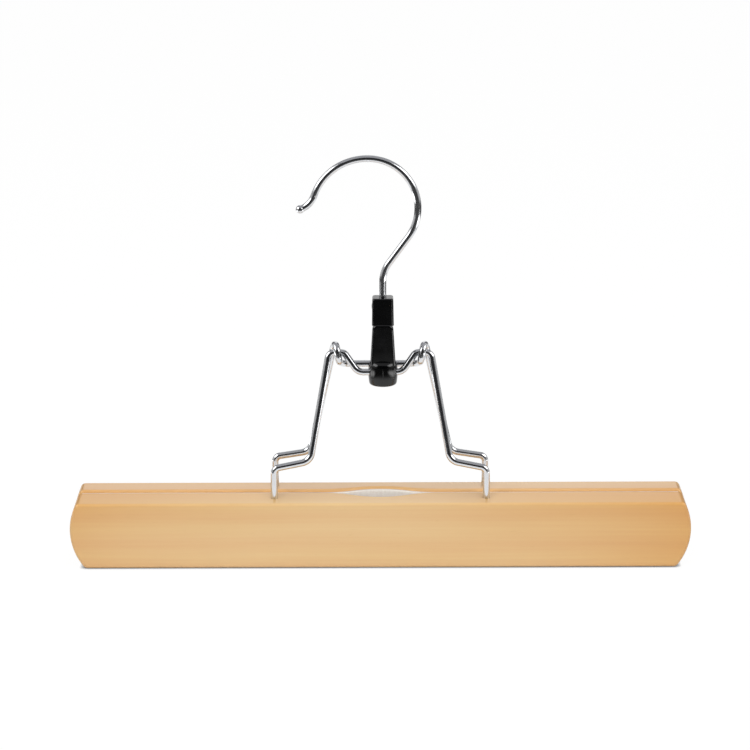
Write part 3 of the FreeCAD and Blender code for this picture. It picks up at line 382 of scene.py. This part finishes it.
front_corners = both_sides([
    (-LEG_X, -LEG_Y, LEG_FOOT, 0),
    (-LEG_X, -LEG_Y, FRONT_LEG_TOP, LEG_BEND),
    (-FRONT_STEP_X, -LEG_Y + FRONT_LEAN * FRONT_STEP, FRONT_LEG_TOP + FRONT_STEP, STEP_BEND),
    (-HINGE_OUTER_X, 0, HINGE, SHOULDER_BEND),
    (-HINGE_INNER_X, 0, HINGE, SHOULDER_BEND),
    (-FRONT_BRIDGE_X, -FRONT_LEAN * FRONT_BRIDGE_DROP, HINGE - FRONT_BRIDGE_DROP, SWOOP_BEND),
])
rear_corners = both_sides([
    (-LEG_X, LEG_Y, LEG_FOOT, 0),
    (-LEG_X, LEG_Y, REAR_LEG_TOP, LEG_BEND),
    (-REAR_STEP_X, LEG_Y - REAR_LEAN * REAR_STEP, REAR_LEG_TOP + REAR_STEP, STEP_BEND),
    (-EYE_BACK_X, EYE, HINGE + EYE, EYE),
    (-EYE_TOP_X, -EYE, HINGE + EYE, EYE),
    (-EYE_FRONT_X, -EYE, HINGE - EYE, EYE),
    (-REAR_BRIDGE_X, REAR_BRIDGE_BACK, HINGE - REAR_BRIDGE_DROP, SHOULDER_BEND),
])
front_frame = wind("front_frame_wire", front_corners)
rear_frame = wind("rear_frame_wire", rear_corners)
for piece, node_name, body in (
    (front_frame, "front_wire", "front_half"),
    (rear_frame, "rear_wire", "rear_half"),
):
    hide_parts(node_name)
    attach(piece, body)
    print(piece.name, len(piece.data.polygons), "faces")


# %% [markdown]
# ## The swivel hook
# The hook is the same wire: a shank that leans to the right, a round crook, and a short flare that ends in a
# ball, so that it slides over a rail without scratching it. Each arc is one rounded corner of the route, at
# the point where the tangents of its two ends meet. Its grooved foot turns inside the lever.

# %% Hook
SOCKET_TOP = 109.0
LEVER_X = 1.2
PIN_DEPTH = 3.9
PIN_LEVEL = SOCKET_TOP - PIN_DEPTH
GROOVE_HALF = 1.0
FOOT_LENGTH = 3.0
NECK = 1.7
LEAN_RISE = 10.3
LEAN_BEND = 13.0
LEAN = Vector((LEVER_X, 0, SOCKET_TOP + LEAN_RISE))
CROOK_LEFT = 6.0
CROOK_RISE = 35.95
CROOK = Vector((LEVER_X - CROOK_LEFT, 0, SOCKET_TOP + CROOK_RISE))
CROOK_RADIUS = 20.0
FAR_RADIUS = 22.4
FAR_TURN = 70.5
FLARE_RADIUS = 8.8
FLARE_TURN = 52.0
BALL = 3.5
HOOK_STEPS = 48


def polar(centre, radius, degrees):
    angle = math.radians(degrees)
    return centre + Vector((radius * math.cos(angle), 0, radius * math.sin(angle)))


def arc_corner(centre, radius, start, end):
    """Where the tangents of an arc's two ends meet, with the arc's radius as the bend there."""
    reach = radius / math.cos(math.radians(abs(end - start) / 2))
    return (*polar(centre, reach, (start + end) / 2), radius)


to_lean = LEAN - CROOK
crook_start = math.degrees(math.atan2(to_lean.z, to_lean.x) + math.acos(CROOK_RADIUS / to_lean.length))
far_centre = CROOK + Vector((0, 0, CROOK_RADIUS - FAR_RADIUS))
far_end = 90 + FAR_TURN
flare_centre = polar(far_centre, FAR_RADIUS + FLARE_RADIUS, far_end)
flare_start = far_end - 180
hook_corners = [
    (LEVER_X, 0, PIN_LEVEL + GROOVE_HALF, 0),
    (*LEAN, LEAN_BEND),
    arc_corner(CROOK, CROOK_RADIUS, crook_start, 90),
    arc_corner(far_centre, FAR_RADIUS, 90, far_end),
    arc_corner(flare_centre, FLARE_RADIUS, flare_start, flare_start - FLARE_TURN),
    (*polar(flare_centre, FLARE_RADIUS, flare_start - FLARE_TURN), 0),
]
hook = wind("swivel_hook", hook_corners, ball=BALL, steps=HOOK_STEPS)


def add_foot(piece):
    """The thin neck in the pin's groove and the foot below it, turned on the end of the shank."""
    built = bmesh.new()
    built.from_mesh(piece.data)
    first = len(built.faces)
    groove_foot = PIN_LEVEL - GROOVE_HALF
    groove_head = PIN_LEVEL + GROOVE_HALF
    for low, high, diameter in (
        (groove_foot - FOOT_LENGTH, groove_foot, WIRE),
        (groove_foot, groove_head, NECK),
    ):
        middle = Vector((LEVER_X, 0, (low + high) / 2)) * MM
        bmesh.ops.create_cone(
            built, cap_ends=True, segments=SIDES, radius1=diameter / 2 * MM, radius2=diameter / 2 * MM,
            depth=(high - low) * MM, matrix=Matrix.Translation(middle))
    built.faces.ensure_lookup_table()
    for face in built.faces[first:]:
        face.smooth = len(face.verts) == 4
    built.to_mesh(piece.data)
    built.free()


add_foot(hook)
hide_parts("hook")
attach(hook, "hook_wire")
print(hook.name, len(hook.data.polygons), "faces")


# %% [markdown]
# ## Parting line
# The two halves of the lever's mould meet along its middle. They leave a fine raised line, which catches the
# light on the front of the knob: a thread of plastic, sunk into the knob for most of its thickness.

# %% Parting line on the knob
KNOB_RADIUS = 5.9
KNOB_BARREL = 30.0
KNOB_BELLY = 78.6
KNOB_AHEAD = 0.8
PARTING_LEVELS = (75.0, 80.8)
PARTING_THREAD = 0.3
PARTING_SUNK = 0.1
PARTING_STEPS = 8


def on_knob(step):
    """A point of the thread, just under the front of the knob."""
    z = PARTING_LEVELS[0] + (PARTING_LEVELS[1] - PARTING_LEVELS[0]) * step / PARTING_STEPS
    reach = KNOB_RADIUS - KNOB_BARREL + math.sqrt(KNOB_BARREL ** 2 - (z - KNOB_BELLY) ** 2)
    return (LEVER_X, PARTING_SUNK - KNOB_AHEAD - reach, z, PARTING_THREAD)


thread = [on_knob(step) for step in range(PARTING_STEPS + 1)]
parting = wind("knob_parting_line", thread, diameter=PARTING_THREAD, steps=2, sides=16, finish=black_abs)
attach(parting, "lever")
print(parting.name, len(parting.data.polygons), "faces")


# %% [markdown]
# ## Felt linings
# Each jaw is lined with needled felt about a millimetre and a half thick, glued a little inside the bar's
# outline, so that it follows the shallow scoop at the middle. It is laid as a sheet: an even grid over the
# jaw, soft at its rim and slightly uneven, as felt is.

# %% Needled felt
def needled_felt(name):
    material, tree, shader = new_material(name)
    place = add(tree, "ShaderNodeTexCoord").outputs["Object"]
    clumps = add(tree, "ShaderNodeTexNoise", {
        "Vector": place, "Scale": per_mm(1.6), "Detail": 6.0, "Roughness": 0.7})
    hairs = add(tree, "ShaderNodeTexNoise", {
        "Vector": place, "Scale": per_mm(0.45), "Detail": 4.0, "Distortion": 2.5})
    mixed = add(tree, "ShaderNodeMix", {
        "Factor": 0.5, "A": clumps.outputs["Fac"], "B": hairs.outputs["Fac"]}, data_type="FLOAT")
    spread = add(tree, "ShaderNodeMapRange", {
        "Value": mixed.outputs["Result"], "From Min": 0.35, "From Max": 0.65, "To Min": 0.0, "To Max": 1.0})
    tint = add(tree, "ShaderNodeMix", {
        "Factor": spread.outputs["Result"], "A": colour("#EFE5DC"), "B": colour("#FFFBF4")}, data_type="RGBA")
    relief = add(tree, "ShaderNodeBump", {
        "Height": mixed.outputs["Result"], "Strength": 0.6, "Distance": 0.3 * MM})
    tree.links.new(tint.outputs["Result"], shader.inputs["Base Color"])
    tree.links.new(relief.outputs["Normal"], shader.inputs["Normal"])
    shader.inputs["Roughness"].default_value = 0.95
    shader.inputs["Sheen Weight"].default_value = 0.35
    shader.inputs["Sheen Roughness"].default_value = 0.5
    return material


felt_finish = needled_felt("needled_felt")
print("lining finish:", felt_finish.name)

# %% Felt sheets
JAW_GAP = 0.4
FELT = 1.4
GLUE = 0.05
FELT_INSET = 1.2
BAR_LENGTH = 250.0
BAR_HEIGHT = 28.4
END_RADIUS = 25.3
END_HEIGHT = 15.9
SCOOP_HALF = 23.0
SCOOP_DEPTH = 4.8
SCOOP_BLEND = 30.0
COLUMNS = 200
ROWS = 26
UNEVEN = 0.05
LUMPS_PER_MM = 0.45
LUMP_LAYER = 7.0
SOFT_RIM = 0.35


def jaw_depth(x, blend):
    """How far the jaw lies back at x because of the scoop, for a face whose edge blends have this radius."""
    radii = (SCOOP_HALF ** 2 + SCOOP_DEPTH ** 2) / (2 * SCOOP_DEPTH)
    scoop = radii - blend
    lean = math.atan2(radii - SCOOP_DEPTH, SCOOP_HALF)
    meet = SCOOP_HALF - blend * math.cos(lean)
    x = abs(x)
    if x >= SCOOP_HALF:
        return 0.0
    if x >= meet:
        return blend - math.sqrt(blend ** 2 - (SCOOP_HALF - x) ** 2)
    return SCOOP_DEPTH - scoop + math.sqrt(scoop ** 2 - x ** 2)


def felt_point(column, row, level, blend, side, uneven):
    z = FELT_INSET + (BAR_HEIGHT - 2 * FELT_INSET) * row / ROWS
    end = BAR_LENGTH / 2 - END_RADIUS
    end += math.sqrt((END_RADIUS - FELT_INSET) ** 2 - (z - END_HEIGHT) ** 2)
    x = end * (2 * column / COLUMNS - 1)
    lumps = noise.noise(Vector((x * LUMPS_PER_MM, z * LUMPS_PER_MM, LUMP_LAYER * side))) * uneven
    y = level + jaw_depth(x, blend) + uneven + lumps
    return Vector((x, side * y, z)) * MM


def rim_of(grid):
    """The points round the edge of a grid, in order."""
    return ([grid[column][0] for column in range(COLUMNS + 1)]
            + [grid[COLUMNS][row] for row in range(1, ROWS + 1)]
            + [grid[column][ROWS] for column in range(COLUMNS - 1, -1, -1)]
            + [grid[0][row] for row in range(ROWS - 1, 0, -1)])


def lay_felt(name, side):
    """A closed sheet: the gripping face, the glued face and the wall between, with a soft front rim."""
    built = bmesh.new()
    grids = []
    for level, blend, uneven in (
        (JAW_GAP / 2, SCOOP_BLEND + GLUE + FELT, UNEVEN),
        (JAW_GAP / 2 + FELT, SCOOP_BLEND + GLUE, 0.0),
    ):
        grids.append([[built.verts.new(felt_point(column, row, level, blend, side, uneven))
                       for row in range(ROWS + 1)] for column in range(COLUMNS + 1)])
    for grid in grids:
        for column in range(COLUMNS):
            for row in range(ROWS):
                built.faces.new((grid[column][row], grid[column + 1][row],
                                 grid[column + 1][row + 1], grid[column][row + 1]))
    front_rim, back_rim = (rim_of(grid) for grid in grids)
    soft = []
    for start in range(len(front_rim)):
        following = (start + 1) % len(front_rim)
        built.faces.new((front_rim[start], front_rim[following], back_rim[following], back_rim[start]))
        soft.append(built.edges.get((front_rim[start], front_rim[following])))
    bmesh.ops.recalc_face_normals(built, faces=built.faces)
    bmesh.ops.bevel(built, geom=soft, offset=SOFT_RIM * MM, segments=3, affect="EDGES", profile=0.5)
    for face in built.faces:
        face.smooth = True
    mesh = bpy.data.meshes.new(name)
    built.to_mesh(mesh)
    built.free()
    mesh.materials.append(felt_finish)
    return link_object(name, mesh)


# The flat size: the lining's middle row laid out straight, by its height.
middle_row = round(ROWS * (END_HEIGHT - FELT_INSET) / (BAR_HEIGHT - 2 * FELT_INSET))
laid_out = [felt_point(column, middle_row, JAW_GAP / 2 + FELT, SCOOP_BLEND + GLUE, 1, 0.0)
            for column in range(COLUMNS + 1)]
flat_length = sum((after - before).length for before, after in zip(laid_out, laid_out[1:]))
FELT_FLAT = (flat_length, (BAR_HEIGHT - 2 * FELT_INSET) * MM)
for side, name, node_name, body, bar in (
    (-1, "front_felt_lining", "front_felt", "front_half", "front_bar"),
    (1, "rear_felt_lining", "rear_felt", "rear_half", "rear_bar"),
):
    piece = lay_felt(name, side)
    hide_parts(node_name)
    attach(piece, body)
    flat_mm = [round(length / MM, 1) for length in FELT_FLAT]
    print(piece.name, len(piece.data.polygons), "faces, flat", flat_mm, "mm")


# %% [markdown]
# ## White sweep
# The hanger stands on a white sweep under broad, even light. The floor is white to the camera and in
# reflections, and keeps only a faint share of real shading, so that the shadow stays as light as in a
# catalogue picture. Right under the bars its glow is painted darker to a hairline of shade, where no light
# gets in.

# %% Floor
FLOOR_SIDE = 14
FLOOR_WHITE = 0.93
CONTACT_REACH = 2.0
FLAT = (0, 0, 0)


def emptied(name):
    """A material whose tree has no nodes yet."""
    material = bpy.data.materials.new(name)
    material.use_nodes = True
    material.node_tree.nodes.clear()
    return material, material.node_tree


def seen_directly(tree):
    """One for what the camera, gloss and glass see, nought for the light that falls on things."""
    rays = add(tree, "ShaderNodeLightPath").outputs
    camera_or_glossy = add(tree, "ShaderNodeMath", {
        0: rays["Is Camera Ray"], 1: rays["Is Glossy Ray"]}, operation="MAXIMUM")
    seen = add(tree, "ShaderNodeMath", {
        0: camera_or_glossy.outputs[0], 1: rays["Is Transmission Ray"]}, operation="MAXIMUM")
    return seen.outputs[0]


def white_floor(name):
    material, tree = emptied(name)
    share = add(tree, "ShaderNodeMath", {0: seen_directly(tree), 1: FLOOR_WHITE}, operation="MULTIPLY")
    shaded = add(tree, "ShaderNodeBsdfDiffuse", {"Color": colour("#D8D8D8")})
    # Painted shade: the floor's glow dims where a piece stands within the contact reach.
    open_sky = add(tree, "ShaderNodeAmbientOcclusion", {"Distance": CONTACT_REACH * MM}, samples=8)
    level = add(tree, "ShaderNodeMapRange", {
        "Value": open_sky.outputs["AO"], "From Min": 0.2, "From Max": 0.9, "To Min": 0.1, "To Max": 1.04})
    white = add(tree, "ShaderNodeEmission", {"Color": (1, 1, 1, 1), "Strength": level.outputs["Result"]})
    mixed = add(tree, "ShaderNodeMixShader", {
        0: share.outputs[0], 1: shaded.outputs["BSDF"], 2: white.outputs["Emission"]})
    add(tree, "ShaderNodeOutputMaterial", {"Surface": mixed.outputs["Shader"]})
    return material


def flat_card(name, centre, width, height, turn, material):
    """A card of four by four points, with a lit middle and an unlit border stored on the points."""
    mesh = bpy.data.meshes.new(name)
    shares = (-0.5, -0.2, 0.2, 0.5)
    corners = [(width * across, height * up, 0) for up in shares for across in shares]
    faces = [(start, start + 1, start + 5, start + 4) for start in (0, 1, 2, 4, 5, 6, 8, 9, 10)]
    mesh.from_pydata(corners, [], faces)
    lit = mesh.attributes.new("lit", "FLOAT", "POINT")
    lit.data.foreach_set("value", [float(number in (5, 6, 9, 10)) for number in range(16)])
    turned = Euler([math.radians(angle) for angle in turn]).to_matrix().to_4x4()
    mesh.transform(Matrix.Translation(centre) @ turned)
    mesh.materials.append(material)
    card = link_object(name, mesh)
    return card


floor = flat_card("floor", (0, 0, 0), FLOOR_SIDE, FLOOR_SIDE, FLAT, white_floor("white_sweep"))
print("floor:", floor.name, FLOOR_SIDE, "m wide")


# %% [markdown]
# ## The room in the reflections
# Chrome and black plastic look like what stands round them. Here that is a dark wall behind the camera, side
# walls that grow lighter towards the back, the white sweep close by, two large boxes above the sides, and two
# lit strips on the floor, which draw the highlights on the knob. Cards can stand for all of it: they appear in
# reflections only and leave the light on the wood as it is. Lit cards fall off to the room's own tone at their
# border, because a hard edge would look ragged in thin wire.

# %% Tones of the room
WALL_FRONT = -1.9
WALL_LIGHT = 1.4
BEHIND_ALL = (9, 0, 0)


def end_in_glow(tree, inputs):
    glow = add(tree, "ShaderNodeEmission", inputs)
    add(tree, "ShaderNodeOutputMaterial", {"Surface": glow.outputs["Emission"]})


def glowing(name, hex_value):
    """A card that shows one even tone in reflections."""
    material, tree = emptied(name)
    end_in_glow(tree, {"Color": colour(hex_value)})
    return material


def dark_floor(name, near, far, room_level):
    """The room's floor: white close to the hanger and behind it, falling off to the room's level."""
    material, tree = emptied(name)
    place = add(tree, "ShaderNodeTexCoord").outputs["Object"]
    ahead = add(tree, "ShaderNodeVectorMath", {0: place, 1: BEHIND_ALL}, operation="MINIMUM")
    away = add(tree, "ShaderNodeVectorMath", {0: ahead.outputs["Vector"]}, operation="LENGTH")
    level = add(tree, "ShaderNodeMapRange", {
        "Value": away.outputs["Value"], "From Min": near, "From Max": far,
        "To Min": 1.0, "To Max": room_level}, interpolation_type="SMOOTHSTEP")
    end_in_glow(tree, {"Color": (1, 1, 1, 1), "Strength": level.outputs["Result"]})
    return material


def side_wall(name, front_level, back_level):
    """A side wall: dark beside the camera and lighter towards the back."""
    material, tree = emptied(name)
    place = add(tree, "ShaderNodeTexCoord").outputs["Object"]
    depth = add(tree, "ShaderNodeSeparateXYZ", {"Vector": place}).outputs["Y"]
    level = add(tree, "ShaderNodeMapRange", {
        "Value": depth, "From Min": WALL_FRONT, "From Max": WALL_LIGHT,
        "To Min": front_level, "To Max": back_level})
    end_in_glow(tree, {"Color": (1, 1, 1, 1), "Strength": level.outputs["Result"]})
    return material


def lamp_front(name, room_level, strength):
    """The front of a soft box: bright in the middle and falling off to the room's level at its border."""
    material, tree = emptied(name)
    lit = add(tree, "ShaderNodeAttribute", attribute_name="lit").outputs["Fac"]
    level = add(tree, "ShaderNodeMapRange", {
        "Value": lit, "From Min": 0.0, "From Max": 1.0,
        "To Min": room_level, "To Max": strength}, interpolation_type="SMOOTHSTEP")
    end_in_glow(tree, {"Color": (1, 1, 1, 1), "Strength": level.outputs["Result"]})
    return material


room_level = colour("#47474A")[0]
front_wall = glowing("dark_room_wall", "#29292B")
sides = side_wall("graded_side_wall", 0.09, 0.8)
far_floor = dark_floor("dark_room_floor", 0.19, 0.255, room_level)
ceiling = glowing("grey_ceiling", "#A8A8AB")
back_wall = glowing("grey_back_wall", "#6E6E71")
lamp_face = lamp_front("lamp_front", room_level, 3.4)
print("tones:", [tone.name for tone in (front_wall, sides, far_floor, ceiling, back_wall, lamp_face)])

# %% Cards
MIDDLE = (0, 0, 0.06)
UPRIGHT = (90, 0, 0)
UPRIGHT_ASIDE = (90, 0, 90)


def facing(place):
    """Turn, in degrees, of a card that looks at the hanger from a place."""
    turn = (Vector(MIDDLE) - Vector(place)).to_track_quat("Z", "Y").to_euler()
    return [math.degrees(angle) for angle in turn]


HIGH_LEFT = (-0.95, -0.2, 0.75)
HIGH_RIGHT = (0.95, -0.25, 0.75)
cards = [
    ("room_front", (0.0, -1.9, 1.0), 3.6, 2.0, UPRIGHT, front_wall),
    ("room_left", (-1.8, 0.0, 1.0), 3.8, 2.0, UPRIGHT_ASIDE, sides),
    ("room_right", (1.8, 0.0, 1.0), 3.8, 2.0, UPRIGHT_ASIDE, sides),
    ("room_ceiling", (0.0, 0.0, 2.0), 3.6, 3.8, FLAT, ceiling),
    ("room_floor", (0.0, 0.0, 0.0005), 3.6, 3.8, FLAT, far_floor),
    ("back_left", (-1.15, 1.9, 1.0), 1.3, 2.0, UPRIGHT, back_wall),
    ("back_right", (1.15, 1.9, 1.0), 1.3, 2.0, UPRIGHT, back_wall),
    ("strip_left", (-0.32, 0.07, 0.001), 0.22, 0.52, FLAT, lamp_face),
    ("strip_right", (0.32, -0.08, 0.001), 0.22, 0.6, FLAT, lamp_face),
    ("box_high_left", HIGH_LEFT, 1.3, 0.9, facing(HIGH_LEFT), lamp_face),
    ("box_high_right", HIGH_RIGHT, 1.4, 0.9, facing(HIGH_RIGHT), lamp_face),
]
for name, centre, width, height, turn, material in cards:
    card = flat_card(name, centre, width, height, turn, material)
    card.visible_camera = False
    card.visible_diffuse = False
    card.visible_shadow = False
print("cards:", [card[0] for card in cards])


# %% [markdown]
# ## Light
# The wood is lit by an even sky and three soft boxes: one above and two in front. Together they give a plain
# level, at which a colour looks about as it is written. The boxes stay out of the reflections, where the cards
# take their place.

# %% World and lamps
SKY = 0.42


def studio_world(name):
    world = bpy.data.worlds.new(name)
    bpy.context.scene.world = world
    world.use_nodes = True
    tree = world.node_tree
    tree.nodes.clear()
    strength = add(tree, "ShaderNodeMapRange", {
        "Value": seen_directly(tree), "From Min": 0.0, "From Max": 1.0, "To Min": SKY, "To Max": 1.0})
    light = add(tree, "ShaderNodeBackground", {
        "Color": (1, 1, 1, 1), "Strength": strength.outputs["Result"]})
    add(tree, "ShaderNodeOutputWorld", {"Surface": light.outputs["Background"]})


def soft_box(name, place, aim, size, watts):
    data = bpy.data.lights.new(name, "AREA")
    data.shape = "RECTANGLE"
    data.size, data.size_y = size
    data.energy = watts
    lamp = bpy.data.objects.new(name, data)
    lamp.location = place
    lamp.rotation_euler = (Vector(aim) - Vector(place)).to_track_quat("-Z", "Y").to_euler()
    lamp.visible_glossy = False
    bpy.context.scene.collection.objects.link(lamp)


studio_world("studio")
soft_box("overhead_box", (0.0, -0.15, 1.1), MIDDLE, (1.0, 0.7), 5.0)
soft_box("front_left_box", (-0.7, -1.0, 0.55), MIDDLE, (0.5, 0.7), 4.6)
soft_box("front_right_box", (0.75, -1.0, 0.5), MIDDLE, (0.5, 0.7), 4.2)
print("lamps:", [lamp.name for lamp in bpy.data.lights])


# %% [markdown]
# ## Camera
# The photograph was taken from a little above, with a long lens. The numbers come from matching the bars'
# ends, the legs and the hook: about fourteen degrees down from one metre twenty away, with a very small roll.

# %% Camera
CAMERA_DOWN = 14.5
CAMERA_ROLL = -0.17
CAMERA_DISTANCE = 1.2
CAMERA_AIM = Vector((-2.0, 0.0, 76.8)) * MM
lens = bpy.data.cameras.new("catalogue_camera")
lens.lens = 143.4
lens.sensor_width = 36.0
lens.sensor_fit = "HORIZONTAL"
camera = bpy.data.objects.new("catalogue_camera", lens)
down = math.radians(CAMERA_DOWN)
camera.location = CAMERA_AIM + CAMERA_DISTANCE * Vector((0, -math.cos(down), math.sin(down)))
tilt = Matrix.Rotation(math.radians(90) - down, 3, "X")
camera.rotation_euler = (tilt @ Matrix.Rotation(math.radians(CAMERA_ROLL), 3, "Z")).to_euler()
bpy.context.scene.collection.objects.link(camera)
bpy.context.scene.camera = camera
bpy.context.scene.view_settings.view_transform = "Standard"
print("camera at, m:", [round(value, 3) for value in camera.location])
